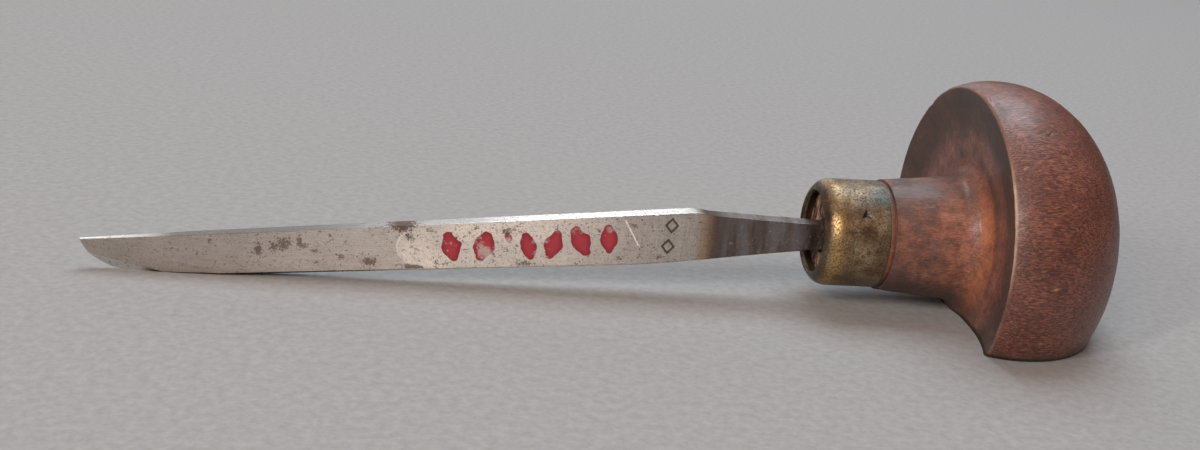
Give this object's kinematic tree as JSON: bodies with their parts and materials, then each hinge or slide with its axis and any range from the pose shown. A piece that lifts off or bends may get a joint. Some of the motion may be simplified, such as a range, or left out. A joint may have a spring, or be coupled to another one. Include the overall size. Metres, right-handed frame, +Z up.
{
  "type": "wood engraving tool",
  "caption": "Wood engraver's graver: slim straight steel blade, short brass ferrule and mushroom-shaped hardwood handle with a flat underside that it rests on",
  "frame": {"origin": "Middle of the flat on the underside of the handle's head, on the bench", "axes": "+X along the handle's axis, from the cutting end to the dome; +Z up from the bench; +Y across the tool"},
  "size_m": [0.1238, 0.04, 0.029],
  "materials": {
    "ground_steel": "satin, lightly pitted",
    "aged_brass": "aged, brown-green patina",
    "stained_wood": "reddish-brown stain, worn satin"
  },
  "bodies": {
    "root": {"graver_blade": "ground_steel", "ferrule": "aged_brass", "mushroom_handle": "stained_wood"}
  },
  "joints": []
}
